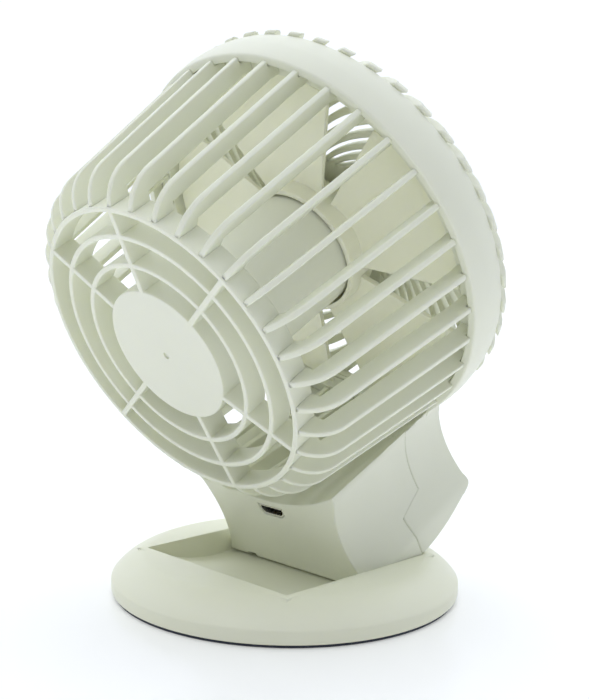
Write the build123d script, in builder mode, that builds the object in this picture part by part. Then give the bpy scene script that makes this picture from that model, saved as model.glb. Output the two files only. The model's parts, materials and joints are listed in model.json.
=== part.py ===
from build123d import *
import os
from math import cos, log, radians, sin, tan

os.makedirs("parts", exist_ok=True)

# A small USB desk fan. A round base holds a square pocket with an arched floor, and the
# block neck of the fan head slides along that arch, so the head tilts about an axis that
# runs through the neck. Millimetres, +Z up, the air leaves towards -Y, and the origin is
# under the centre of the base.

# ---------------------------------------------------------------- driving dimensions
BASE_R = 40.0            # outer radius of the round base
FOOT_H = 0.6             # rubber pad that the base stands on
FOOT_PAD_R = 39.2
BASE_RIM_Z = 3.6         # top of the upright rim
PLATEAU_R = 32.1         # flat top of the base
PLATEAU_Z = 8.5
BASE_WALL = 1.9
PLATE_TOP_Z = 1.4        # upper face of the bottom plate
BASE_SCREW_R = 30.0      # circle of the four base screws
BASE_BOSS_R = 2.4

PIVOT_Z = 52.0           # height of the tilt axis
TILT = 29.5              # tilt of the head as modelled, degrees
FAN_U = 21.6             # fan axis above the tilt axis, measured along the head

POCKET_X = 23.2          # half width of the square pocket
POCKET_Y = 22.3          # half length of the square pocket
TRACK_R = 49.4           # radius of the pocket's arched floor
FLOOR_T = 1.0
TRAY_WALL = 1.6

NECK_BOTTOM_R = 49.1     # radius of the neck's sliding underside
NECK_FRONT = -19.9       # front face of the neck, along the fan axis
NECK_REAR = 20.5         # rear face of the neck
NECK_SIDE = 22.9         # half width of the neck inside the pocket
NECK_WALL = 1.8
WAIST_HALF = 20.0        # half width at the waist
WAIST_U = -31.6
WAIST_R = 27.0
SADDLE_FRONT_R = 47.2    # hollow top of the neck, below the cage
SADDLE_REAR_R = 45.3
SADDLE_WALL = 1.3
PARTING_GAP = 0.25       # shadow gap where the neck's two halves meet
PARTING_DEPTH = 0.7
PARTING = ((-6.0, 0.0), (-6.0, -36.2), (2.0, -38.6), (2.0, -52.0))   # stepped line in (r, u)

JOIN_R = -14.4           # plane where the cage meets the band
BAND_FRONT = -24.9
BAND_LIP_R = 47.3
BAND_MID_R = 47.95
BAND_BORE_R = 45.4
DUCT_R = 42.0
FLANGE_REAR = -21.2      # inner flange that the cage is screwed to
FLANGE_T = 1.2

CAGE_END = 28.7          # flat rear end of the cage
CAGE_R = 46.6            # rib tips at the band
CAGE_TAPER = 9.0         # degrees
CAGE_BEND_R = 9.0
RIB_COUNT = 36
RIB_T = 1.3
RIB_DEPTH = 4.2
RING_T = 1.15
RING_DEPTH = 5.6
END_RING_R = 34.55
RING_RADII = (28.0, 21.5)
DISC_R = 15.6
DISC_T = 1.8
SPOKE_ANGLES = (45, 95, 145, 215, 265, 325)

GRILLE_RIBS = 44
GRILLE_FRONT = -29.4     # flat front face of the grille
GRILLE_T = 2.2
GRILLE_HUB_R = 17.0
GRILLE_EDGE_R = 47.9
GRILLE_SWIRL = 47.0      # degrees between a grille rib and the radius

HUB_R = 15.6
HUB_WALL = 1.1
HUB_FRONT = -24.3
BLADE_COUNT = 5
BLADE_TIP_R = 41.0
BLADE_ROOT = (10.0, 15.0, 32.0, 1.2)   # distance, chord, pitch in degrees, camber
BLADE_TIP = (44.0, 46.0, 11.0, 2.0)
BLADE_MIDDLE = 19.1      # forward place of the blades' middle

MOUNT_R = 13.9           # sleeve that carries the motor
MOUNT_BORE_R = 12.3
COLLAR_FRONT = 20.9      # collar on the cage disc, inside the sleeve
MOUNT_SCREW_ANGLES = (30, 150, 270)
MOUNT_SCREW_AT = 24.0    # rearward place of the three screws through sleeve and collar
SCREW_CORE_R = 0.75      # core of the small screws and of the holes they cut
MOTOR_R = 12.2
MOTOR_FRONT = -18.0
MOTOR_REAR = 6.0
SHAFT_R = 1.0
SHAFT_FIT = 0.03

PORT_U = -26.8           # centre of the USB socket
PORT_W = 7.5
PORT_H = 2.6
BOARD_T = 1.0
BUTTON_U = -31.8
BUTTON_R = 3.1
LEAD_ANGLE = 280         # the lead runs between two ribs, on the lower side
LEAD_D = 1.6

KEY_X = 15.2             # guide keys that hold the neck down in the pocket
KEY_START = -21.0        # angles from straight down, towards the rear
KEY_END = -11.5
KEY_SCREWS = (-18.8, -14.2)
KEY_STEM = 2.4
KEY_HEAD = 6.0
SLOT_W = 3.0
SLOT_START = -22.0       # angles along the head
SLOT_END = 21.5

# ---------------------------------------------------------------- frames
ACROSS = Vector(1, 0, 0)
REAR = Vector(0, cos(radians(TILT)), -sin(radians(TILT)))
UP = Vector(0, sin(radians(TILT)), cos(radians(TILT)))
PIVOT = Vector(0, 0, PIVOT_Z)


def head_point(x, r, u):
    """A point of the tilted head: x across, r to the rear, u upwards."""
    return PIVOT + ACROSS * x + REAR * r + UP * u


def facing_front(r, u=FAN_U, x=0.0):
    """A plane square to the fan axis, with its normal to the front."""
    return Plane(origin=head_point(x, r, u), x_dir=ACROSS, z_dir=-REAR)


def level(u, x=0.0, r=0.0):
    """A plane square to the head's upright, with its normal up."""
    return Plane(origin=head_point(x, r, u), x_dir=ACROSS, z_dir=UP)


def radial(r, angle, radius):
    """A plane facing away from the fan axis, at an angle from +X."""
    out = ACROSS * cos(radians(angle)) + UP * sin(radians(angle))
    return Plane(origin=head_point(0, r, FAN_U) + out * radius, x_dir=REAR, z_dir=out)


def below_track(angle, radius):
    """A plane on the pocket's arch, facing down and away from the tilt axis."""
    out = Vector(0, sin(radians(angle)), -cos(radians(angle)))
    return Plane(origin=PIVOT + out * radius, x_dir=ACROSS, z_dir=out)


FAN = facing_front(0)                                                     # x, up, forward
SECTION = Plane(origin=head_point(0, 0, FAN_U), x_dir=REAR, z_dir=ACROSS)  # r, radius
NECK_SIDE_VIEW = Plane(origin=PIVOT, x_dir=REAR, z_dir=ACROSS)             # r, u
POCKET_SIDE_VIEW = Plane(origin=PIVOT, x_dir=(0, 1, 0), z_dir=ACROSS)      # y, height
FAN_AXIS = Axis(head_point(0, 0, FAN_U), REAR)


def finish(builder, label):
    """Label a finished piece and write it."""
    builder.part.label = label
    export_step(builder.part, f"parts/{label}.step")


def arc_strip(inner, outer, start, end):
    """A strip of a ring about the tilt axis, with angles from straight down."""
    with BuildSketch() as strip:
        with BuildLine():
            low = CenterArc((0, 0), outer, start - 90, end - start)
            high = CenterArc((0, 0), inner, start - 90, end - start)
            Line(low @ 0, high @ 0)
            Line(low @ 1, high @ 1)
        make_face()
    return strip.sketch_local


def neck_outline(inset):
    """The waisted outline of the neck in (x, u), moved in by inset."""
    centre_x = WAIST_HALF + WAIST_R
    with BuildSketch() as outline:
        with Locations((0, -32.0)):
            Rectangle(2 * (NECK_SIDE - inset), 50)
        with Locations((centre_x, WAIST_U), (-centre_x, WAIST_U)):
            Circle(WAIST_R + inset, mode=Mode.SUBTRACT)
    return outline.sketch_local


def neck_side_profile(inset):
    """The side profile of the neck in (r, u), moved in by inset."""
    with BuildSketch() as profile:
        Circle(NECK_BOTTOM_R - inset)
        with Locations(((NECK_FRONT + NECK_REAR) / 2, -32.0)):
            Rectangle(NECK_REAR - NECK_FRONT - 2 * inset, 50, mode=Mode.INTERSECT)
        corners = profile.vertices().group_by(Axis.Y)[0:2]
        fillet([v for group in corners for v in group], 1.6 - 0.8 * inset)
    return profile.sketch_local


def saddle(extra):
    """The cone about the fan axis that hollows the top of the neck, in (r, radius)."""
    slope = (SADDLE_REAR_R - SADDLE_FRONT_R) / (NECK_REAR - JOIN_R)
    start = NECK_FRONT - 5
    end = NECK_REAR + 5
    with BuildSketch() as cone:
        Polygon((start, 0), (start, SADDLE_FRONT_R - 0.3 + extra), (JOIN_R, SADDLE_FRONT_R - 0.3 + extra),
                (JOIN_R, SADDLE_FRONT_R + extra), (end, SADDLE_REAR_R + 5 * slope + extra), (end, 0), align=None)
    return cone.sketch_local


def port_outline(width, height, bevel):
    """The micro USB outline: wide on top, with bevelled lower corners."""
    with BuildSketch() as outline:
        Polygon((-width / 2, height / 2), (width / 2, height / 2), (width / 2, -height / 2 + bevel),
                (width / 2 - bevel, -height / 2), (-width / 2 + bevel, -height / 2),
                (-width / 2, -height / 2 + bevel), align=None)
    return outline.sketch_local


def tube(builder_plane, outer, inner, length):
    """A plain tube from a plane, along its normal."""
    with BuildPart() as ring:
        with BuildSketch(builder_plane):
            Circle(outer)
            Circle(inner, mode=Mode.SUBTRACT)
        extrude(amount=length)
    return ring


# ---------------------------------------------------------------- base
with BuildPart() as pocket_tray:
    with BuildSketch(POCKET_SIDE_VIEW):
        Circle(TRACK_R + FLOOR_T)
        with Locations((0, (PLATEAU_Z + PLATE_TOP_Z) / 2 - PIVOT_Z)):
            Rectangle(2 * (POCKET_Y + TRAY_WALL), PLATEAU_Z - PLATE_TOP_Z, mode=Mode.INTERSECT)
    extrude(amount=POCKET_X + TRAY_WALL, both=True)

with BuildSketch() as pocket_cut:
    Circle(TRACK_R)
    with Locations(((POCKET_Y - 24) / 2, 10 - PIVOT_Z)):
        Rectangle(POCKET_Y + 24, 20, mode=Mode.INTERSECT)

key_recess = arc_strip(TRACK_R - 1, TRACK_R + 0.5, KEY_START - 0.1, KEY_END + 0.1)

with BuildPart() as base_shell:
    with BuildSketch(Plane.XZ):
        with BuildLine():
            Polyline((0, FOOT_H), (BASE_R - 0.4, FOOT_H), (BASE_R, FOOT_H + 0.5), (BASE_R, BASE_RIM_Z))
            ThreePointArc((BASE_R, BASE_RIM_Z), (36.6, 6.75), (PLATEAU_R, PLATEAU_Z))
            Polyline((PLATEAU_R, PLATEAU_Z), (0, PLATEAU_Z), (0, FOOT_H))
        make_face()
    revolve(axis=Axis.Z)
    with BuildSketch(Plane.XZ):
        Polygon((0, 0), (BASE_R - BASE_WALL, 0), (BASE_R - BASE_WALL, 3.1),
                (PLATEAU_R - 1.0, PLATEAU_Z - BASE_WALL), (0, PLATEAU_Z - BASE_WALL), align=None)
    revolve(axis=Axis.Z, mode=Mode.SUBTRACT)
    add(pocket_tray.part)
    with BuildSketch(Plane.XY.offset(PLATE_TOP_Z)):
        with PolarLocations(BASE_SCREW_R, 4):
            Circle(BASE_BOSS_R)
    extrude(amount=PLATEAU_Z - BASE_WALL - PLATE_TOP_Z + 0.3)
    with BuildSketch(POCKET_SIDE_VIEW):
        add(pocket_cut.sketch_local)
    extrude(amount=POCKET_X, both=True, mode=Mode.SUBTRACT)
    for x in (-KEY_X, KEY_X):
        with BuildSketch(POCKET_SIDE_VIEW.offset(x)):
            add(key_recess)
        extrude(amount=KEY_STEM / 2 + 0.05, both=True, mode=Mode.SUBTRACT)
        for angle in KEY_SCREWS:
            with BuildSketch(below_track(angle, TRACK_R - 1)):
                with Locations((x, 0)):
                    Circle(0.9)
            extrude(amount=FLOOR_T + 2, mode=Mode.SUBTRACT)
    with BuildSketch(Plane.XY.offset(PLATE_TOP_Z)):
        with PolarLocations(BASE_SCREW_R, 4):
            Circle(1.0)
    extrude(amount=4.4, mode=Mode.SUBTRACT)
finish(base_shell, "base_shell")

UNDERSIDE = Plane(origin=(0, 0, PLATE_TOP_Z), x_dir=(1, 0, 0), z_dir=(0, 0, -1))
with BuildPart(UNDERSIDE) as base_bottom_plate:
    with BuildSketch(UNDERSIDE):
        Circle(BASE_R - BASE_WALL - 0.2)
    extrude(amount=PLATE_TOP_Z - FOOT_H)
    with Locations((0, 0, PLATE_TOP_Z - FOOT_H)):
        with PolarLocations(BASE_SCREW_R, 4):
            CounterSinkHole(1.15, 2.1, depth=2)
finish(base_bottom_plate, "base_bottom_plate")

with BuildPart() as ballast_plate:
    with BuildSketch(Plane.XY.offset(PLATE_TOP_Z + 0.2)):
        Circle(36.5)
        Rectangle(2 * (POCKET_X + TRAY_WALL + 0.3), 2 * (POCKET_Y + TRAY_WALL + 0.3), mode=Mode.SUBTRACT)
        with PolarLocations(BASE_SCREW_R, 4):
            Circle(BASE_BOSS_R + 0.3, mode=Mode.SUBTRACT)
    extrude(amount=2.0)
finish(ballast_plate, "ballast_plate")

with BuildPart() as foot_pad:
    with BuildSketch():
        Circle(FOOT_PAD_R)
    extrude(amount=FOOT_H)
finish(foot_pad, "foot_pad")

with BuildPart() as base_screws:
    with Locations((0, 0, FOOT_H + 0.05)):
        with PolarLocations(BASE_SCREW_R, 4):
            Cone(2.0, 1.0, 0.75, align=(Align.CENTER, Align.CENTER, Align.MIN))
            Cylinder(1.0, 5.0, align=(Align.CENTER, Align.CENTER, Align.MIN))
finish(base_screws, "base_screws")

key_head_top = NECK_BOTTOM_R - NECK_WALL - 1.9
key_head_low = NECK_BOTTOM_R - NECK_WALL - 0.3
key_head = arc_strip(key_head_top, key_head_low, KEY_START, KEY_END)
key_stem = arc_strip(key_head_low - 0.1, TRACK_R + 0.5, KEY_START, KEY_END)

for name, x in (("guide_key_left", KEY_X), ("guide_key_right", -KEY_X)):
    with BuildPart() as guide_key:
        with BuildSketch(POCKET_SIDE_VIEW.offset(x)):
            add(key_head)
        extrude(amount=KEY_HEAD / 2, both=True)
        with BuildSketch(POCKET_SIDE_VIEW.offset(x)):
            add(key_stem)
        extrude(amount=KEY_STEM / 2, both=True)
        for angle in KEY_SCREWS:
            with BuildSketch(below_track(angle, TRACK_R - 3)):
                with Locations((x, 0)):
                    Circle(0.75)
            extrude(amount=4, mode=Mode.SUBTRACT)
    finish(guide_key, name)

WASHER_T = 0.4
with BuildPart() as guide_screws:
    for x in (-KEY_X, KEY_X):
        for angle in KEY_SCREWS:
            with BuildSketch(below_track(angle, TRACK_R + FLOOR_T + WASHER_T)):
                with Locations((x, 0)):
                    Circle(1.6)
            extrude(amount=0.8)
            with BuildSketch(below_track(angle, TRACK_R - 2.8)):
                with Locations((x, 0)):
                    Circle(0.75)
            extrude(amount=2.8 + FLOOR_T + WASHER_T + 0.1)
finish(guide_screws, "guide_screws")

with BuildPart() as guide_spring_washers:
    for x in (-KEY_X, KEY_X):
        for angle in KEY_SCREWS:
            with BuildSketch(below_track(angle, TRACK_R + FLOOR_T)):
                with Locations((x, 0)):
                    Circle(1.5)
                    Circle(0.85, mode=Mode.SUBTRACT)
                    with Locations((1.2, 0)):
                        Rectangle(1.0, 0.3, mode=Mode.SUBTRACT)
            extrude(amount=WASHER_T)
finish(guide_spring_washers, "guide_spring_washers")

# ---------------------------------------------------------------- neck and band
NECK_SCREW_X = 15.2
NECK_SCREW_U = -36.0
NECK_BOSS_R = 2.5
BOARD_TOP = PORT_U - PORT_H / 2
BOARD_SCREW_X = 7.5
BOARD_SCREW_R = 6.0

outer_outline = neck_outline(0)
inner_outline = neck_outline(NECK_WALL)
outer_profile = neck_side_profile(0)
inner_profile = neck_side_profile(NECK_WALL)
outer_saddle = saddle(0)
inner_saddle = saddle(SADDLE_WALL)
port_opening = port_outline(PORT_W + 0.4, PORT_H + 0.4, 1.2)
neck_slot = arc_strip(NECK_BOTTOM_R - NECK_WALL - 1.2, NECK_BOTTOM_R + 1, SLOT_START, SLOT_END)
neck_notch = arc_strip(NECK_BOTTOM_R - 1.1, NECK_BOTTOM_R + 1, SLOT_END - 1, 29)

with BuildSketch() as front_half:
    Polygon((-26, 0), *PARTING, (-26, -52), align=None)

with BuildPart() as parting_groove:
    with BuildSketch(NECK_SIDE_VIEW):
        Polygon(*PARTING, *[(r + PARTING_GAP, u) for r, u in reversed(PARTING)], align=None)
    extrude(amount=30, both=True)
    with BuildSketch(facing_front(30, 0)):
        add(neck_outline(PARTING_DEPTH))
    extrude(amount=60, mode=Mode.SUBTRACT)

with BuildPart() as neck_cavity:
    with BuildSketch(NECK_SIDE_VIEW):
        add(inner_profile)
    extrude(amount=30, both=True)
    with BuildSketch(facing_front(30, 0)):
        add(inner_outline)
    extrude(amount=60, mode=Mode.INTERSECT)
    with BuildSketch(SECTION):
        add(inner_saddle)
    revolve(axis=FAN_AXIS, mode=Mode.SUBTRACT)

with BuildPart() as neck_skin:
    with BuildSketch(NECK_SIDE_VIEW):
        add(outer_profile)
    extrude(amount=30, both=True)
    with BuildSketch(facing_front(30, 0)):
        add(outer_outline)
    extrude(amount=60, mode=Mode.INTERSECT)
    with BuildSketch(SECTION):
        add(outer_saddle)
    revolve(axis=FAN_AXIS, mode=Mode.SUBTRACT)
    add(neck_cavity.part, mode=Mode.SUBTRACT)
    for x in (-KEY_X, KEY_X):
        for strip in (neck_slot, neck_notch):
            with BuildSketch(NECK_SIDE_VIEW.offset(x)):
                add(strip)
            extrude(amount=SLOT_W / 2, both=True, mode=Mode.SUBTRACT)

with BuildSketch() as root_blend:
    Circle(BAND_LIP_R)
    with Locations((0, -FAN_U)):
        add(outer_outline)
    fillet(root_blend.vertices().filter_by_position(Axis.Y, -44, -38), 6.0)
    with Locations((0, -40)):
        Rectangle(80, 20, mode=Mode.INTERSECT)
    Circle(BAND_LIP_R - 0.5, mode=Mode.SUBTRACT)

with BuildPart() as front_housing:
    add(neck_skin.part)
    with BuildSketch(NECK_SIDE_VIEW):
        add(front_half.sketch_local)
    extrude(amount=30, both=True, mode=Mode.INTERSECT)
    with BuildSketch(SECTION):
        with BuildLine():
            Line((JOIN_R, BAND_BORE_R), (JOIN_R, BAND_LIP_R))
            ThreePointArc((JOIN_R, BAND_LIP_R), ((JOIN_R + BAND_FRONT) / 2, BAND_MID_R),
                          (BAND_FRONT, BAND_LIP_R - 0.1))
            Polyline((BAND_FRONT, BAND_LIP_R - 0.1), (BAND_FRONT, BAND_BORE_R),
                     (FLANGE_REAR - FLANGE_T, BAND_BORE_R), (FLANGE_REAR - FLANGE_T, DUCT_R),
                     (FLANGE_REAR, DUCT_R), (FLANGE_REAR, BAND_BORE_R), (JOIN_R, BAND_BORE_R))
        make_face()
    revolve(axis=FAN_AXIS)
    with BuildSketch(facing_front(JOIN_R)):
        add(root_blend.sketch_local)
    extrude(amount=JOIN_R - NECK_FRONT)
    add(neck_cavity.part, mode=Mode.SUBTRACT)
    with BuildSketch(facing_front(NECK_FRONT + NECK_WALL)):
        with Locations((-NECK_SCREW_X, NECK_SCREW_U - FAN_U), (NECK_SCREW_X, NECK_SCREW_U - FAN_U)):
            Circle(NECK_BOSS_R)
    extrude(amount=NECK_FRONT + NECK_WALL + 6.1)
    with BuildSketch(facing_front(NECK_FRONT)):
        with Locations((-NECK_SCREW_X, NECK_SCREW_U - FAN_U), (NECK_SCREW_X, NECK_SCREW_U - FAN_U)):
            Circle(2.0)
    extrude(amount=-9.0, mode=Mode.SUBTRACT)
    with BuildSketch(facing_front(NECK_FRONT)):
        with Locations((-NECK_SCREW_X, NECK_SCREW_U - FAN_U), (NECK_SCREW_X, NECK_SCREW_U - FAN_U)):
            Circle(1.2)
    extrude(amount=-16.0, mode=Mode.SUBTRACT)
    with BuildSketch(facing_front(NECK_FRONT - 2)):
        with Locations((0, BUTTON_U - FAN_U)):
            Circle(BUTTON_R + 0.25)
    extrude(amount=-5.0, mode=Mode.SUBTRACT)
    with BuildSketch(facing_front(FLANGE_REAR)):
        with PolarLocations((DUCT_R + BAND_BORE_R) / 2, 4, start_angle=45):
            Circle(1.0)
    extrude(amount=FLANGE_T, mode=Mode.SUBTRACT)
finish(front_housing, "front_housing")

with BuildPart() as neck_rear_shell:
    add(neck_skin.part)
    with BuildSketch(NECK_SIDE_VIEW):
        add(front_half.sketch_local)
    extrude(amount=30, both=True, mode=Mode.SUBTRACT)
    add(parting_groove.part, mode=Mode.SUBTRACT)
    with BuildSketch(facing_front(NECK_REAR - NECK_WALL)):
        with Locations((-NECK_SCREW_X, NECK_SCREW_U - FAN_U), (NECK_SCREW_X, NECK_SCREW_U - FAN_U)):
            Circle(NECK_BOSS_R)
    extrude(amount=NECK_REAR - NECK_WALL + 5.9)
    with BuildSketch(facing_front(6)):
        with Locations((-NECK_SCREW_X, NECK_SCREW_U - FAN_U), (NECK_SCREW_X, NECK_SCREW_U - FAN_U)):
            Circle(1.0)
    extrude(amount=14, mode=Mode.SUBTRACT)
    with BuildSketch(level(BOARD_TOP - BOARD_T)):
        with Locations((-BOARD_SCREW_X, BOARD_SCREW_R), (BOARD_SCREW_X, BOARD_SCREW_R)):
            Circle(2.1)
    extrude(amount=-(BOARD_TOP - BOARD_T + NECK_BOTTOM_R - NECK_WALL - 0.2))
    with BuildSketch(level(BOARD_TOP - BOARD_T)):
        with Locations((-BOARD_SCREW_X, BOARD_SCREW_R), (BOARD_SCREW_X, BOARD_SCREW_R)):
            Circle(0.8)
    extrude(amount=-7, mode=Mode.SUBTRACT)
    with BuildSketch(facing_front(NECK_REAR + 1, PORT_U)):
        add(port_opening)
    extrude(amount=NECK_WALL + 2, mode=Mode.SUBTRACT)
    with BuildSketch(radial(16.4, LEAD_ANGLE, SADDLE_REAR_R - 2)):
        Circle(1.7)
    extrude(amount=5, mode=Mode.SUBTRACT)
finish(neck_rear_shell, "neck_rear_shell")

with BuildPart() as neck_screws:
    for x in (-NECK_SCREW_X, NECK_SCREW_X):
        with BuildSketch(facing_front(NECK_FRONT + 9.0, NECK_SCREW_U, x)):
            Circle(1.9)
        extrude(amount=1.3)
        with BuildSketch(facing_front(NECK_FRONT + 9.0, NECK_SCREW_U, x)):
            Circle(1.0)
        extrude(amount=-12.0)
finish(neck_screws, "neck_screws")

# ---------------------------------------------------------------- cage and grille
cage_slope = tan(radians(CAGE_TAPER))
cage_corner_r = CAGE_R - (CAGE_END - JOIN_R) * cage_slope
rib_inner_r = CAGE_R - RIB_DEPTH
ring_front = CAGE_END - RING_DEPTH
root_front = FLANGE_REAR + 0.2
root_rear = JOIN_R - 3.0

with BuildPart() as cage_rib:
    with BuildSketch(Plane.XZ):
        with BuildLine():
            outer_edge = FilletPolyline((CAGE_R, -JOIN_R), (cage_corner_r, -CAGE_END),
                                        (END_RING_R - 3.0, -CAGE_END), radius=CAGE_BEND_R)
            Polyline(outer_edge @ 1, (END_RING_R - 3.0, -ring_front),
                     (rib_inner_r - (ring_front - JOIN_R) * cage_slope, -ring_front),
                     (rib_inner_r, -JOIN_R), (rib_inner_r, -root_rear), (BAND_BORE_R - 0.2, -root_rear),
                     (BAND_BORE_R - 0.2, -JOIN_R), outer_edge @ 0)
        make_face()
    extrude(amount=RIB_T / 2, both=True)
    with BuildSketch(Plane.XY.offset(-CAGE_END)):
        Circle(END_RING_R)
    extrude(amount=RING_DEPTH, mode=Mode.SUBTRACT)

with BuildPart(FAN) as cage_ribs:
    with PolarLocations(0, RIB_COUNT, start_angle=180 / RIB_COUNT):
        add(cage_rib.part)
finish(cage_ribs, "cage_ribs")

with BuildPart(FAN) as cage_rear_grille:
    with BuildSketch(FAN.offset(-CAGE_END)):
        for radius in (END_RING_R - RING_T / 2,) + RING_RADII:
            Circle(radius + RING_T / 2)
            Circle(radius - RING_T / 2, mode=Mode.SUBTRACT)
        Circle(DISC_R)
        Circle(DISC_R - RING_T, mode=Mode.SUBTRACT)
        for angle in SPOKE_ANGLES:
            with Locations(Rotation(0, 0, angle)):
                with Locations(((DISC_R + END_RING_R) / 2 - 0.8, 0)):
                    Rectangle(END_RING_R - DISC_R + 0.4, RIB_T)
    extrude(amount=RING_DEPTH)
    with BuildSketch(FAN.offset(-CAGE_END)):
        Circle(DISC_R)
    extrude(amount=DISC_T)
    with BuildSketch(FAN.offset(-CAGE_END + DISC_T)):
        Circle(MOUNT_BORE_R - 0.1)
        Circle(MOUNT_BORE_R - 2.3, mode=Mode.SUBTRACT)
    extrude(amount=CAGE_END - DISC_T - COLLAR_FRONT)
    with BuildSketch(FAN.offset(-CAGE_END)):
        Circle(0.8)
    extrude(amount=0.4, mode=Mode.SUBTRACT)
    for angle in MOUNT_SCREW_ANGLES:
        with BuildSketch(radial(MOUNT_SCREW_AT, angle, MOUNT_BORE_R - 3)):
            Circle(SCREW_CORE_R)
        extrude(amount=4, mode=Mode.SUBTRACT)
finish(cage_rear_grille, "cage_rear_grille")

with BuildPart(FAN) as cage_root_ring:
    with BuildSketch(FAN.offset(-root_rear)):
        Circle(BAND_BORE_R - 0.2)
        Circle(DUCT_R, mode=Mode.SUBTRACT)
    extrude(amount=root_rear - root_front)
    with BuildSketch(FAN.offset(-root_front)):
        with PolarLocations((DUCT_R + BAND_BORE_R) / 2, 4, start_angle=45):
            Circle(SCREW_CORE_R)
    extrude(amount=-3.0, mode=Mode.SUBTRACT)
finish(cage_root_ring, "cage_root_ring")

with BuildPart(FAN) as cage_screws:
    with BuildSketch(FAN.offset(-FLANGE_REAR + FLANGE_T)):
        with PolarLocations((DUCT_R + BAND_BORE_R) / 2, 4, start_angle=45):
            Circle(1.55)
    extrude(amount=0.9)
    with BuildSketch(FAN.offset(-FLANGE_REAR + FLANGE_T)):
        with PolarLocations((DUCT_R + BAND_BORE_R) / 2, 4, start_angle=45):
            Circle(0.75)
    extrude(amount=-3.8)
finish(cage_screws, "cage_screws")


def swirl_point(radius, shift):
    """A point of a grille rib at a radius, shifted round by a width."""
    turn = tan(radians(GRILLE_SWIRL)) * log(radius / GRILLE_HUB_R) + shift / radius
    return (radius * cos(turn), radius * sin(turn))


def swirl_width(radius):
    """Half of a grille rib's width along the circle; it grows outwards."""
    share = (radius - GRILLE_HUB_R) / (GRILLE_EDGE_R - GRILLE_HUB_R)
    return 0.5 * (1.1 + 1.2 * share) / cos(radians(GRILLE_SWIRL))


with BuildPart() as grille_rib:
    with BuildSketch():
        with BuildLine():
            radii = (GRILLE_HUB_R - 0.8, 24.0, 33.0, GRILLE_EDGE_R + 1)
            one_side = Spline(*[swirl_point(radius, swirl_width(radius)) for radius in radii])
            other_side = Spline(*[swirl_point(radius, -swirl_width(radius)) for radius in radii])
            Line(one_side @ 0, other_side @ 0)
            Line(one_side @ 1, other_side @ 1)
        make_face()
    extrude(amount=12)

with BuildPart(FAN) as front_grille:
    with PolarLocations(0, GRILLE_RIBS):
        add(grille_rib.part.moved(Location((0, 0, -BAND_FRONT - 1))))
    with BuildSketch(SECTION):
        with BuildLine():
            Polyline((BAND_FRONT, 0), (BAND_FRONT, GRILLE_EDGE_R), (BAND_FRONT - 0.8, GRILLE_EDGE_R))
            ThreePointArc((BAND_FRONT - 0.8, GRILLE_EDGE_R), (-28.2, 45.6), (GRILLE_FRONT, 41.5))
            Polyline((GRILLE_FRONT, 41.5), (GRILLE_FRONT, 0), (BAND_FRONT, 0))
        make_face()
    revolve(axis=FAN_AXIS, mode=Mode.INTERSECT)
    with BuildSketch(SECTION):
        with BuildLine():
            Polyline((BAND_FRONT + 1, 0), (BAND_FRONT + 1, 44.0), (BAND_FRONT - 0.6, 44.0))
            ThreePointArc((BAND_FRONT - 0.6, 44.0), (-26.5, 42.9), (GRILLE_FRONT + GRILLE_T, 40.6))
            Polyline((GRILLE_FRONT + GRILLE_T, 40.6), (GRILLE_FRONT + GRILLE_T, 0), (BAND_FRONT + 1, 0))
        make_face()
    revolve(axis=FAN_AXIS, mode=Mode.SUBTRACT)
    with BuildSketch(SECTION):
        with Locations(((BAND_FRONT - 0.8 + BAND_FRONT + 1.3) / 2, 44.3)):
            Rectangle(2.1, 1.8)
        with Locations((GRILLE_FRONT + GRILLE_T / 2 - 0.2, GRILLE_HUB_R / 2)):
            Rectangle(GRILLE_T, GRILLE_HUB_R)
    revolve(axis=FAN_AXIS)
finish(front_grille, "front_grille")

# ---------------------------------------------------------------- motor
MOUNT_FRONT = MOTOR_FRONT - 1.5
MOTOR_SCREW_R = 8.0

with BuildPart() as motor_mount:
    with BuildSketch(SECTION):
        Polygon((MOUNT_FRONT, 3.15), (MOUNT_FRONT, MOUNT_R - 0.8), (MOUNT_FRONT + 0.8, MOUNT_R),
                (CAGE_END - DISC_T, MOUNT_R), (CAGE_END - DISC_T, MOUNT_BORE_R), (MOTOR_FRONT, MOUNT_BORE_R),
                (MOTOR_FRONT, 3.15), align=None)
    revolve(axis=FAN_AXIS)
    with BuildSketch(facing_front(MOTOR_FRONT)):
        with Locations((-MOTOR_SCREW_R, 0), (MOTOR_SCREW_R, 0)):
            Circle(1.1)
    extrude(amount=2, mode=Mode.SUBTRACT)
    for angle in MOUNT_SCREW_ANGLES:
        with BuildSketch(radial(MOUNT_SCREW_AT, angle, MOUNT_BORE_R - 1)):
            Circle(1.0)
        extrude(amount=4, mode=Mode.SUBTRACT)
    with BuildSketch(radial(19.6, LEAD_ANGLE, MOUNT_BORE_R - 3)):
        SlotCenterToCenter(1.2, 3.0)
    extrude(amount=6, mode=Mode.SUBTRACT)
finish(motor_mount, "motor_mount")

with BuildPart() as mount_screws:
    for angle in MOUNT_SCREW_ANGLES:
        with BuildSketch(radial(MOUNT_SCREW_AT, angle, MOUNT_R)):
            Circle(1.5)
        extrude(amount=0.45)
        with BuildSketch(radial(MOUNT_SCREW_AT, angle, MOUNT_R)):
            Circle(0.75)
        extrude(amount=-3.6)
finish(mount_screws, "mount_screws")

with BuildPart() as motor_screws:
    for x in (-MOTOR_SCREW_R, MOTOR_SCREW_R):
        with BuildSketch(facing_front(MOUNT_FRONT, x=x)):
            Circle(1.9)
        extrude(amount=1.2)
        with BuildSketch(facing_front(MOUNT_FRONT, x=x)):
            Circle(0.95)
        extrude(amount=-2.3)
finish(motor_screws, "motor_screws")

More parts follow.
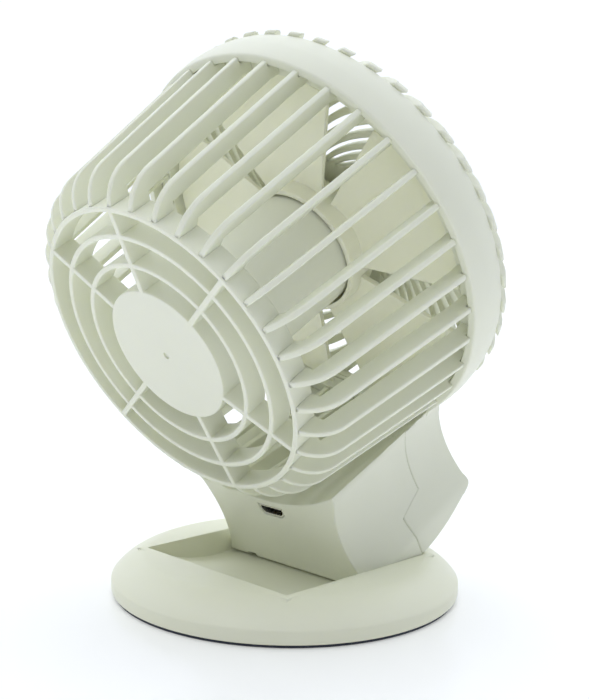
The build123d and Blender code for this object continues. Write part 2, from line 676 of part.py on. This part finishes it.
with BuildPart() as motor_can:
    with BuildSketch(SECTION):
        Polygon((MOTOR_REAR, MOTOR_R), (MOTOR_FRONT, MOTOR_R), (MOTOR_FRONT, 3.0), (MOUNT_FRONT + 0.1, 3.0),
                (MOUNT_FRONT + 0.1, 2.4), (MOTOR_FRONT + 0.8, 2.4), (MOTOR_FRONT + 0.8, MOTOR_R - 0.8),
                (MOTOR_REAR, MOTOR_R - 0.8), align=None)
    revolve(axis=FAN_AXIS)
    with BuildSketch(facing_front(MOTOR_FRONT + 1)):
        with Locations((-MOTOR_SCREW_R, 0), (MOTOR_SCREW_R, 0)):
            Circle(0.95)
    extrude(amount=2, mode=Mode.SUBTRACT)
finish(motor_can, "motor_can")

front_bush = tube(facing_front(MOTOR_FRONT + 1.6), 2.4, SHAFT_R + SHAFT_FIT, 2.8)
finish(front_bush, "front_bush")
rear_bush = tube(facing_front(MOTOR_REAR + 3.0), 2.4, SHAFT_R + SHAFT_FIT, 2.8)
finish(rear_bush, "rear_bush")

with BuildPart() as motor_end_cap:
    with BuildSketch(SECTION):
        Polygon((MOTOR_REAR, MOTOR_R), (MOTOR_REAR + 1.6, MOTOR_R - 0.2), (MOTOR_REAR + 1.6, 3.4),
                (MOTOR_REAR + 3.4, 3.4), (MOTOR_REAR + 3.4, 0), (MOTOR_REAR + 3.0, 0), (MOTOR_REAR + 3.0, 2.4),
                (MOTOR_REAR, 2.4), (MOTOR_REAR, 9.0), (MOTOR_REAR - 1.4, 9.0), (MOTOR_REAR - 1.4, 11.3),
                (MOTOR_REAR, 11.3), align=None)
    revolve(axis=FAN_AXIS)
finish(motor_end_cap, "motor_end_cap")

with BuildPart() as motor_magnets:
    with BuildSketch(facing_front(2.0)):
        Circle(MOTOR_R - 0.8)
        Circle(9.4, mode=Mode.SUBTRACT)
        Rectangle(30, 8, mode=Mode.SUBTRACT)
    extrude(amount=16.0)
finish(motor_magnets, "motor_magnets")

with BuildPart() as motor_brushes:
    for way in (-1, 1):
        with BuildSketch(facing_front(MOTOR_REAR, x=way * 4.0)):
            Rectangle(2.6, 2.0)
        extrude(amount=3.0)
finish(motor_brushes, "motor_brushes")

with BuildPart() as motor_terminals:
    for way in (-1, 1):
        with BuildSketch(facing_front(MOTOR_REAR + 4.4, x=way * 7.0)):
            Rectangle(0.5, 2.2)
        extrude(amount=2.8)
finish(motor_terminals, "motor_terminals")

# ---------------------------------------------------------------- rotor
CORE_R = 8.9
CORE_REAR = -1.0
CORE_T = 11.0
POLE_NECK_W = 2.4
SHAFT_REAR = MOTOR_REAR + 2.6

with BuildPart() as motor_shaft:
    with BuildSketch(facing_front(SHAFT_REAR)):
        Circle(SHAFT_R)
    extrude(amount=SHAFT_REAR - HUB_FRONT - 1.0)
    chamfer(motor_shaft.edges().filter_by(GeomType.CIRCLE), 0.2)
finish(motor_shaft, "motor_shaft")

with BuildPart(FAN) as armature_core:
    with BuildSketch(FAN.offset(-CORE_REAR)):
        Circle(3.6)
        with PolarLocations(0, 3, start_angle=90):
            with Locations((5.0, 0)):
                Rectangle(6.4, POLE_NECK_W)
        with BuildSketch(mode=Mode.ADD) as shoes:
            Circle(CORE_R)
            Circle(7.4, mode=Mode.SUBTRACT)
            with PolarLocations(0, 3, start_angle=30):
                with Locations((8, 0)):
                    Rectangle(6, 3.0, mode=Mode.SUBTRACT)
        Circle(SHAFT_R, mode=Mode.SUBTRACT)
    extrude(amount=CORE_T)
finish(armature_core, "armature_core")

with BuildPart() as one_winding:
    with Locations((5.3, 0, -CORE_REAR + CORE_T / 2)):
        Box(2.5, 6.4, CORE_T + 3.0)
        Box(2.7, POLE_NECK_W, CORE_T, mode=Mode.SUBTRACT)
    outer_edges = [e for e in one_winding.edges().filter_by(Axis.X) if abs(e.center().Y) > POLE_NECK_W]
    fillet(outer_edges, 1.0)

with BuildPart(FAN) as armature_windings:
    with PolarLocations(0, 3, start_angle=90):
        add(one_winding.part)
finish(armature_windings, "armature_windings")

commutator = tube(facing_front(MOTOR_REAR - 0.4), 2.65, SHAFT_R, 3.2)
finish(commutator, "commutator")
shaft_spacer = tube(facing_front(MOUNT_FRONT - 0.3), 2.0, SHAFT_R, 1.0)
finish(shaft_spacer, "shaft_spacer")


def blade_section(distance, chord, pitch, camber):
    """A curved strip, the section of a blade at a distance from the fan axis."""
    plane = Plane(origin=(distance, 0, 0), x_dir=(0, 1, 0), z_dir=(1, 0, 0)).rotated((0, 0, pitch))
    half = chord / 2
    with BuildSketch(plane) as section:
        with BuildLine():
            ThreePointArc((-half, 0), (0, camber), (half, 0))
            ThreePointArc((-half, -1.0), (0, camber - 1.4), (half, -1.0))
            Line((-half, 0), (-half, -1.0))
            Line((half, 0), (half, -1.0))
        make_face()
    return section.sketch


with BuildPart() as blade:
    add(blade_section(*BLADE_ROOT))
    add(blade_section(*BLADE_TIP))
    loft()
    with BuildSketch(Plane.XY.offset(-7)):
        Circle(BLADE_TIP_R)
        Circle(HUB_R - 0.3, mode=Mode.SUBTRACT)
    extrude(amount=14, mode=Mode.INTERSECT)

with BuildPart(FAN) as impeller:
    with BuildSketch(SECTION):
        with BuildLine():
            FilletPolyline((JOIN_R, HUB_R - HUB_WALL), (JOIN_R, HUB_R), (HUB_FRONT, HUB_R),
                           (HUB_FRONT, 0), radius=(0.3, 2.0))
            Polyline((HUB_FRONT, 0), (HUB_FRONT + 1.4, 0), (HUB_FRONT + 1.4, HUB_R - HUB_WALL),
                     (JOIN_R, HUB_R - HUB_WALL))
        make_face()
        with Locations(((HUB_FRONT + 1.3 + MOUNT_FRONT - 1.3) / 2, 1.5)):
            Rectangle(MOUNT_FRONT - HUB_FRONT - 2.6, 3.0)
    revolve(axis=FAN_AXIS)
    with PolarLocations(0, BLADE_COUNT, start_angle=20):
        add(blade.part.moved(Location((0, 0, BLADE_MIDDLE))))
    with BuildSketch(facing_front(MOUNT_FRONT)):
        Circle(SHAFT_R)
    extrude(amount=MOUNT_FRONT - HUB_FRONT - 1.0, mode=Mode.SUBTRACT)
finish(impeller, "impeller")

# ---------------------------------------------------------------- electrics in the neck
BOARD_W = 28.0
SWITCH_H = 5.4
SWITCH_FRONT = -15.6
PORT_REAR = NECK_REAR - 0.3
PORT_DEPTH = 5.4


shell_outside = port_outline(PORT_W, PORT_H, 1.1)
shell_inside = port_outline(PORT_W - 0.7, PORT_H - 0.7, 0.9)

with BuildPart() as control_board:
    with BuildSketch(level(BOARD_TOP - BOARD_T)):
        with Locations((0, (SWITCH_FRONT + 0.3 + 18.2) / 2)):
            Rectangle(BOARD_W, 18.2 - SWITCH_FRONT - 0.3)
        with Locations((-BOARD_SCREW_X, BOARD_SCREW_R), (BOARD_SCREW_X, BOARD_SCREW_R)):
            Circle(1.1, mode=Mode.SUBTRACT)
    extrude(amount=BOARD_T)
finish(control_board, "control_board")

with BuildPart() as board_screws:
    for x in (-BOARD_SCREW_X, BOARD_SCREW_X):
        with BuildSketch(level(BOARD_TOP, x, BOARD_SCREW_R)):
            Circle(1.7)
        extrude(amount=0.9)
        with BuildSketch(level(BOARD_TOP, x, BOARD_SCREW_R)):
            Circle(0.8)
        extrude(amount=-6.0)
finish(board_screws, "board_screws")

with BuildPart() as usb_socket_shell:
    with BuildSketch(facing_front(PORT_REAR, PORT_U)):
        add(shell_outside)
    extrude(amount=PORT_DEPTH)
    with BuildSketch(facing_front(PORT_REAR, PORT_U)):
        add(shell_inside)
    extrude(amount=PORT_DEPTH - 0.4, mode=Mode.SUBTRACT)
finish(usb_socket_shell, "usb_socket_shell")

with BuildPart() as usb_tongue:
    with BuildSketch(facing_front(PORT_REAR - 0.9, PORT_U + 0.3)):
        Rectangle(3.7, 0.65)
    extrude(amount=PORT_DEPTH - 0.4 - 0.9)
finish(usb_tongue, "usb_tongue")

with BuildPart() as usb_contacts:
    with BuildSketch(facing_front(PORT_REAR - 1.1, PORT_U + 0.3 - 0.325 - 0.075)):
        with GridLocations(0.65, 0, 5, 1):
            Rectangle(0.35, 0.15)
    extrude(amount=PORT_DEPTH - 0.4 - 1.1)
finish(usb_contacts, "usb_contacts")

with BuildPart() as switch_body:
    with BuildSketch(facing_front(SWITCH_FRONT + 3.5, BUTTON_U)):
        Rectangle(6.0, 2 * (BOARD_TOP - BOARD_T - BUTTON_U))
    extrude(amount=3.5)
    with BuildSketch(facing_front(SWITCH_FRONT, BUTTON_U)):
        Circle(1.7)
    extrude(amount=-2.2, mode=Mode.SUBTRACT)
finish(switch_body, "switch_body")

BUTTON_TRAVEL = 0.8
FLANGE_FACE = NECK_FRONT + NECK_WALL + 0.05
with BuildPart() as power_button:
    with BuildSketch(facing_front(FLANGE_FACE + 0.8, BUTTON_U)):
        Circle(BUTTON_R + 1.0)
    extrude(amount=0.8)
    with BuildSketch(facing_front(FLANGE_FACE, BUTTON_U)):
        Circle(BUTTON_R)
    extrude(amount=FLANGE_FACE - NECK_FRONT + 1.0)
    fillet(power_button.faces().sort_by(Axis(PIVOT, -REAR))[-1].edges(), 0.5)
finish(power_button, "power_button")

with BuildPart() as switch_plunger:
    with BuildSketch(facing_front(SWITCH_FRONT + 0.6, BUTTON_U)):
        Circle(1.6)
    extrude(amount=SWITCH_FRONT + 0.6 - FLANGE_FACE - 0.8)
finish(switch_plunger, "switch_plunger")

lead_route = [(MOTOR_REAR + 1.6, 6.0), (17.6, 6.0), (21.8, 19.6), (21.8, 33.6), (16.0, 46.4),
              (13.0, (FAN_U - BOARD_TOP) / -sin(radians(LEAD_ANGLE)))]
LEAD_PLANE = Plane(origin=head_point(0, 0, FAN_U), x_dir=REAR,
                   z_dir=radial(0, LEAD_ANGLE, 0).x_dir.cross(radial(0, LEAD_ANGLE, 0).z_dir))


def bend_radii(route):
    """The largest arc that each corner of a route has room for."""
    points = [Vector(*p) for p in route]
    runs = [b - a for a, b in zip(points, points[1:])]
    return [0.45 * min(a.length, b.length) / tan(radians(a.get_angle(b)) / 2) for a, b in zip(runs, runs[1:])]


lead_radii = bend_radii(lead_route)
with BuildPart() as motor_lead:
    with BuildLine(LEAD_PLANE):
        lead_line = FilletPolyline(*lead_route, radius=lead_radii)
    with BuildSketch(Plane(origin=lead_line @ 0, z_dir=lead_line % 0)):
        Circle(LEAD_D / 2)
    sweep()
finish(motor_lead, "motor_lead")
print("lead radii", [round(r, 1) for r in lead_radii])
print("lead volume ratio", motor_lead.part.volume / (lead_line.length * 3.14159 * LEAD_D ** 2 / 4))
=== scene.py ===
import json
from math import cos, hypot, radians, sin

import bmesh
import bpy
from mathutils import Matrix, Vector


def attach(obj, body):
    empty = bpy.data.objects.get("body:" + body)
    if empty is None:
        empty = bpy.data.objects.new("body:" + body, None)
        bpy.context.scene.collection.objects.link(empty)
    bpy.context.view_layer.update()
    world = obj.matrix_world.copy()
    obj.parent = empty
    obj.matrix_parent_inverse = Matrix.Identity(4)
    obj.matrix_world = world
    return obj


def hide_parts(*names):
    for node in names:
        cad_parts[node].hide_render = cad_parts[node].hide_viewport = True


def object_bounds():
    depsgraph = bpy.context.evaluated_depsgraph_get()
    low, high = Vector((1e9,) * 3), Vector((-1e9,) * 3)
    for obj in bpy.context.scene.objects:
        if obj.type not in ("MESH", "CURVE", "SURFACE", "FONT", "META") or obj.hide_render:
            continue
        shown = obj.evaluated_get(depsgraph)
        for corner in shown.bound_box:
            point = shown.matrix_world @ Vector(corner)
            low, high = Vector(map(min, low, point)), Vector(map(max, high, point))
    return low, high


# A small ivory USB desk fan on a pale floor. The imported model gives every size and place;
# this script rounds the moulded edges and makes the materials, the floor, the light and the
# camera. Metres, +Z up, the air leaves towards -Y.

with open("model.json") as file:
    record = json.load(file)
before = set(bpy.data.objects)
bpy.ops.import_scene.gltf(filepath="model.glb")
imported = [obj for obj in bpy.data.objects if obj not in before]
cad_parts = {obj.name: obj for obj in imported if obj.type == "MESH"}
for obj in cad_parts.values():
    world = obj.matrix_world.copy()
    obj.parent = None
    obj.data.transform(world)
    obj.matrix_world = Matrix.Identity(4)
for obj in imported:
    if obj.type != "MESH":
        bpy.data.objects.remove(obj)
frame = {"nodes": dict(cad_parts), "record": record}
cad_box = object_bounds()
record = frame["record"]
MM = 0.001

BODY_OF = {node: body for body, nodes in record["behaviour"]["bodies"].items() for node in nodes}
SLOT_OF = {part["node"]: part["material_slot"] for part in record["subparts"]}
JOINTS = {joint["name"]: joint for joint in record["behaviour"]["joints"]}

# The head's own frame at rest: across, to the rear along the fan axis, and up the head.
FAN_AXIS_POINT = Vector(JOINTS["impeller_spin"]["pos_m"])
FORWARD = Vector(JOINTS["impeller_spin"]["axis"]).normalized()
ACROSS = Vector((1, 0, 0))
HEAD_UP = FORWARD.cross(ACROSS)
HEAD = Matrix((ACROSS, -FORWARD, HEAD_UP)).transposed().to_4x4()
HEAD.translation = FAN_AXIS_POINT


# ---------------------------------------------------------------- shader helpers
NOISE_SPREAD = (0.3, 0.7)    # the part of its range that a noise really fills


def new_material(name, roughness, metallic=0.0):
    """A material with one Principled shader; returns the material and the shader."""
    material = bpy.data.materials.new(name)
    material.use_nodes = True
    shader = material.node_tree.nodes["Principled BSDF"]
    shader.inputs["Roughness"].default_value = roughness
    shader.inputs["Metallic"].default_value = metallic
    return material, shader


def noise(material, scale, detail=2.0, stretch=(1, 1, 1)):
    """The value of a noise texture in object space."""
    nodes, links = material.node_tree.nodes, material.node_tree.links
    place = nodes.new("ShaderNodeTexCoord")
    mapping = nodes.new("ShaderNodeMapping")
    mapping.inputs["Scale"].default_value = stretch
    texture = nodes.new("ShaderNodeTexNoise")
    texture.inputs["Scale"].default_value = scale
    texture.inputs["Detail"].default_value = detail
    links.new(place.outputs["Object"], mapping.inputs["Vector"])
    links.new(mapping.outputs["Vector"], texture.inputs["Vector"])
    return texture.outputs["Fac"]


def between(material, value, low, high):
    """A noise value spread from low to high."""
    ramp = material.node_tree.nodes.new("ShaderNodeMapRange")
    ramp.inputs["From Min"].default_value, ramp.inputs["From Max"].default_value = NOISE_SPREAD
    ramp.inputs["To Min"].default_value = low
    ramp.inputs["To Max"].default_value = high
    material.node_tree.links.new(value, ramp.inputs["Value"])
    return ramp.outputs["Result"]


def two_tones(material, value, first, second):
    """A colour between two tones, by a value from 0 to 1."""
    mix = material.node_tree.nodes.new("ShaderNodeMix")
    mix.data_type = "RGBA"
    mix.inputs["A"].default_value = (*first, 1)
    mix.inputs["B"].default_value = (*second, 1)
    material.node_tree.links.new(value, mix.inputs["Factor"])
    return mix.outputs["Result"]


def bump(material, height, strength, distance):
    """Adds relief from a height to the shader, over any relief that it has."""
    nodes, links = material.node_tree.nodes, material.node_tree.links
    relief = nodes.new("ShaderNodeBump")
    relief.inputs["Strength"].default_value = strength
    relief.inputs["Distance"].default_value = distance
    links.new(height, relief.inputs["Height"])
    normal = nodes["Principled BSDF"].inputs["Normal"]
    if normal.is_linked:
        links.new(normal.links[0].from_socket, relief.inputs["Normal"])
    links.new(relief.outputs["Normal"], normal)


def shade(color, factor):
    """A colour made lighter or darker."""
    return tuple(min(1.0, c * factor) for c in color)


# ---------------------------------------------------------------- materials
def moulded_plastic(name, color, roughness=0.42, texture=0.12, glow=0.12, depth=1.6, coat=0.0):
    """Injection moulded ABS: a fine spark-eroded texture, faint flow clouds, slight translucency.

    Texture is the strength of the fine relief, glow the share of light that goes into the
    plastic, and depth how far it goes, in mm."""
    material, shader = new_material(name, roughness)
    links = material.node_tree.links
    clouds = noise(material, scale=35, detail=3)
    links.new(two_tones(material, clouds, shade(color, 0.975), shade(color, 1.015)),
              shader.inputs["Base Color"])
    wear = noise(material, scale=260, detail=3)
    links.new(between(material, wear, roughness - 0.05, roughness + 0.06), shader.inputs["Roughness"])
    bump(material, noise(material, scale=5200), strength=texture, distance=0.03 * MM)
    bump(material, noise(material, scale=90), strength=0.05, distance=0.2 * MM)
    shader.inputs["Subsurface Weight"].default_value = glow
    shader.inputs["Subsurface Radius"].default_value = (1.0, 0.95, 0.55)
    shader.inputs["Subsurface Scale"].default_value = depth * MM
    shader.inputs["Coat Weight"].default_value = coat
    shader.inputs["Coat Roughness"].default_value = 0.25
    return material


def rubber(name, color):
    """Foam rubber: matt, with small cells."""
    material, shader = new_material(name, 0.85)
    links = material.node_tree.links
    mottle = noise(material, scale=900, detail=4)
    links.new(two_tones(material, mottle, shade(color, 0.7), shade(color, 1.3)),
              shader.inputs["Base Color"])
    links.new(between(material, noise(material, scale=300), 0.75, 0.92), shader.inputs["Roughness"])
    bump(material, noise(material, scale=3000, detail=3), strength=0.5, distance=0.08 * MM)
    return material


def metal(name, color, roughness, stretch=(1, 1, 1), scale=900, relief=0.15):
    """Plated, turned or rolled metal: streaks in the roughness and in the relief."""
    material, shader = new_material(name, roughness, metallic=1.0)
    links = material.node_tree.links
    streaks = noise(material, scale, detail=3, stretch=stretch)
    tarnish = noise(material, scale=220, detail=3)
    links.new(two_tones(material, tarnish, shade(color, 0.86), shade(color, 1.05)),
              shader.inputs["Base Color"])
    links.new(between(material, streaks, roughness - 0.1, roughness + 0.12), shader.inputs["Roughness"])
    bump(material, streaks, strength=relief, distance=0.02 * MM)
    return material


def laminate(name, color):
    """Solder mask over copper: tracks show as faint lines under a glossy green."""
    material, shader = new_material(name, 0.32)
    nodes, links = material.node_tree.nodes, material.node_tree.links
    tracks = nodes.new("ShaderNodeTexVoronoi")
    tracks.feature = "DISTANCE_TO_EDGE"
    tracks.inputs["Scale"].default_value = 420
    place = nodes.new("ShaderNodeTexCoord")
    links.new(place.outputs["Object"], tracks.inputs["Vector"])
    line = nodes.new("ShaderNodeMapRange")
    line.inputs["From Max"].default_value = 0.12
    links.new(tracks.outputs["Distance"], line.inputs["Value"])
    links.new(two_tones(material, line.outputs["Result"], shade(color, 1.9), color),
              shader.inputs["Base Color"])
    gloss = noise(material, scale=700)
    links.new(between(material, gloss, 0.25, 0.4), shader.inputs["Roughness"])
    bump(material, line.outputs["Result"], strength=0.3, distance=0.03 * MM)
    return material


IVORY = (0.86, 0.875, 0.735)
MATERIALS = {
    "base_plastic": moulded_plastic("base ivory", (0.86, 0.87, 0.70)),
    "neck_plastic": moulded_plastic("neck ivory", IVORY),
    "housing_plastic": moulded_plastic("housing ivory", IVORY),
    "cage_plastic": moulded_plastic("cage ivory", IVORY, glow=0.2, depth=1.2),
    "impeller_plastic": moulded_plastic("impeller ivory", (0.95, 0.95, 0.76), roughness=0.34,
                                        texture=0.03, glow=0.3, depth=1.2),
    "button_plastic": moulded_plastic("button ivory", IVORY, roughness=0.28, texture=0.04, coat=0.3),
    "white_nylon": moulded_plastic("white nylon", (0.72, 0.72, 0.68), roughness=0.35,
                                   texture=0.05, glow=0.3),
    "black_plastic": moulded_plastic("black plastic", (0.018, 0.018, 0.02), roughness=0.4,
                                     texture=0.15, glow=0.0),
    "lead_sheath": moulded_plastic("lead sheath", (0.66, 0.66, 0.60), roughness=0.5,
                                   texture=0.2, glow=0.1),
    "foot_rubber": rubber("foot rubber", (0.045, 0.05, 0.075)),
    "plated_steel": metal("plated steel", (0.80, 0.79, 0.76), roughness=0.28),
    "ballast_steel": metal("ballast steel", (0.22, 0.21, 0.20), roughness=0.6, scale=400, relief=0.4),
    "core_steel": metal("core laminations", (0.36, 0.36, 0.37), roughness=0.42,
                        stretch=(1, 14, 1), scale=600, relief=0.3),
    "magnet_ferrite": metal("sintered ferrite", (0.07, 0.07, 0.075), roughness=0.7,
                            scale=1500, relief=0.5),
    "copper_wire": metal("enamelled copper", (0.60, 0.24, 0.09), roughness=0.3,
                         stretch=(1, 18, 18), scale=700, relief=0.6),
    "brass": metal("turned brass", (0.72, 0.52, 0.22), roughness=0.28),
    "gold_plate": metal("gold plate", (0.86, 0.62, 0.22), roughness=0.2),
    "board_laminate": laminate("solder mask", (0.02, 0.11, 0.045)),
}

for node, thing in frame["nodes"].items():
    thing.data.materials.clear()
    thing.data.materials.append(MATERIALS[SLOT_OF[node]])


# ---------------------------------------------------------------- rounded mouldings
CAGE_RING_RADIUS = 34.6 * MM
WELD = 0.002 * MM            # points closer than this are one point
MOULDED_ANGLE = radians(28)  # edges flatter than this are part of a smooth surface
FROM_WORLD = HEAD.inverted()

# Each rounded node, with the width of its rounded edges and its finest side, in mm.
MOULDINGS = {
    "base_shell": (0.3, 0.6),
    "front_housing": (0.4, 1.0),
    "neck_rear_shell": (0.35, 1.0),
    "power_button": (0.2, 0.3),
    "cage_ribs": (0.35, 0.35),
    "cage_rear_grille": (0.3, 0.3),
    "cage_root_ring": (0.2, 0.3),
    "front_grille": (0.4, 0.4),
    "motor_mount": (0.3, 0.6),
    "impeller": (0.2, 0.4),
}


def on_cage_ring(edge):
    """True for an edge at a rib's end, where the rib runs into the cage's rear ring."""
    places = [FROM_WORLD @ end.co for end in edge.verts]
    return all(hypot(place.x, place.z) < CAGE_RING_RADIUS for place in places)


def is_moulded(edge, node, finest):
    """True for an edge to round. Edges beside a side shorter than finest, such as those of
    small holes, and the ends of the ribs stay sharp."""
    shortest = min(side.calc_length() for end in edge.verts for side in end.link_edges)
    return shortest > finest * MM and not (node == "cage_ribs" and on_cage_ring(edge))


def rounded(node, width, finest):
    """A copy of a node with its moulded edges rounded, which stands for the node."""
    mesh = frame["nodes"][node].data.copy()
    mesh.name = node + "_rounded"
    work = bmesh.new()
    work.from_mesh(mesh)
    bmesh.ops.remove_doubles(work, verts=work.verts, dist=WELD)
    bmesh.ops.dissolve_degenerate(work, edges=work.edges, dist=WELD)
    weight = work.edges.layers.float.new("bevel_weight_edge")
    for face in work.faces:
        face.smooth = True
    for edge in work.edges:
        if len(edge.link_faces) == 2 and edge.calc_face_angle(0) > MOULDED_ANGLE:
            edge.smooth = is_moulded(edge, node, finest)
            edge[weight] = float(edge.smooth)
    work.to_mesh(mesh)
    work.free()
    piece = bpy.data.objects.new(node + "_rounded", mesh)
    bpy.context.scene.collection.objects.link(piece)
    bevel = piece.modifiers.new("rounded edges", "BEVEL")
    bevel.width = width * MM
    bevel.segments = 3
    bevel.limit_method = "WEIGHT"
    bevel.use_clamp_overlap = False
    piece.modifiers.new("even shading", "WEIGHTED_NORMAL").keep_sharp = True
    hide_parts(node)
    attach(piece, BODY_OF[node])


for node, (width, finest) in MOULDINGS.items():
    rounded(node, width, finest)


# ---------------------------------------------------------------- floor, light and camera
FLOOR_SIZE = 40
FLOOR_TONES = ((0.93, 0.93, 0.93), (0.95, 0.95, 0.95))
FLOOR_GLOW = 0.12            # a little light of its own keeps the floor white

ROOM_COLOR = (0.97, 1.01, 1.08, 1)
ROOM_DIM = 0.22              # strength of the room on the camera's side
ROOM_BRIGHT = 1.05           # and beyond the fan
BEYOND = (0.707, -0.707, 0)  # the level direction from the camera to the room beyond
CEILING = 0.62               # added overhead

KEY_AZIMUTH, KEY_ELEVATION = radians(190), radians(55)
KEY_DISTANCE, KEY_SIZE, KEY_POWER = 0.7, 0.4, 0.5

CAMERA_AZIMUTH, CAMERA_ELEVATION, CAMERA_ROLL = radians(225.0), radians(6.42), radians(1.07)
CAMERA_AIM = Vector((0, -1.8, 55.4)) * MM
CAMERA_DISTANCE = 264.1 * MM
LENS_MM, SENSOR_MM = 59.25, 36


def away(azimuth, elevation):
    """The direction from the fan towards an azimuth and an elevation."""
    return Vector((sin(azimuth) * cos(elevation), -cos(azimuth) * cos(elevation), sin(elevation)))


def lay_floor():
    """A wide white floor."""
    bpy.ops.mesh.primitive_plane_add(size=FLOOR_SIZE)
    floor = bpy.context.object
    floor.name = "floor"
    material, shader = new_material("pale floor", 0.15)
    shader.inputs["Specular IOR Level"].default_value = 0.15
    shader.inputs["Emission Color"].default_value = (1, 1, 1, 1)
    shader.inputs["Emission Strength"].default_value = FLOOR_GLOW
    material.node_tree.links.new(two_tones(material, noise(material, scale=2), *FLOOR_TONES),
                                 shader.inputs["Base Color"])
    floor.data.materials.append(material)


def part_of_room(tree, direction, start, end, low, high):
    """A strength that grows towards one side of the room."""
    place = tree.nodes.new("ShaderNodeTexCoord")
    along = tree.nodes.new("ShaderNodeVectorMath")
    along.operation = "DOT_PRODUCT"
    along.inputs[1].default_value = direction
    tree.links.new(place.outputs["Generated"], along.inputs[0])
    spread = tree.nodes.new("ShaderNodeMapRange")
    spread.interpolation_type = "SMOOTHSTEP"
    for name, number in (("From Min", start), ("From Max", end), ("To Min", low), ("To Max", high)):
        spread.inputs[name].default_value = number
    tree.links.new(along.outputs["Value"], spread.inputs["Value"])
    return spread.outputs["Result"]


def light_room():
    """A white room that is dimmer on the camera's side and brighter above."""
    world = bpy.data.worlds.new("room")
    world.use_nodes = True
    tree = world.node_tree
    total = tree.nodes.new("ShaderNodeMath")
    total.operation = "ADD"
    tree.links.new(part_of_room(tree, BEYOND, -0.5, 0.5, ROOM_DIM, ROOM_BRIGHT), total.inputs[0])
    tree.links.new(part_of_room(tree, (0, 0, 1), 0.3, 0.9, 0.0, CEILING), total.inputs[1])
    background = tree.nodes["Background"]
    background.inputs["Color"].default_value = ROOM_COLOR
    tree.links.new(total.outputs["Value"], background.inputs["Strength"])
    bpy.context.scene.world = world


def hang_key_light():
    """One soft lamp, high up behind the fan."""
    back = away(KEY_AZIMUTH, KEY_ELEVATION)
    lamp = bpy.data.lights.new("key", "AREA")
    lamp.size = KEY_SIZE
    lamp.energy = KEY_POWER
    light = bpy.data.objects.new("key", lamp)
    light.location = (cad_box[0] + cad_box[1]) / 2 + back * KEY_DISTANCE
    light.rotation_euler = (-back).to_track_quat("-Z", "Y").to_euler()
    bpy.context.scene.collection.objects.link(light)


def set_camera():
    """The camera behind the fan, to the side of the socket, a little above the floor."""
    back = away(CAMERA_AZIMUTH, CAMERA_ELEVATION)
    data = bpy.data.cameras.new("camera")
    data.sensor_width = SENSOR_MM
    data.lens = LENS_MM
    data.clip_start = 0.01
    eye = bpy.data.objects.new("camera", data)
    eye.location = CAMERA_AIM + back * CAMERA_DISTANCE
    turn = (-back).to_track_quat("-Z", "Y").to_matrix().to_4x4()
    eye.rotation_euler = (turn @ Matrix.Rotation(CAMERA_ROLL, 4, "Z")).to_euler()
    bpy.context.scene.collection.objects.link(eye)
    bpy.context.scene.camera = eye


lay_floor()
light_room()
hang_key_light()
set_camera()
bpy.context.scene.view_settings.view_transform = "Standard"
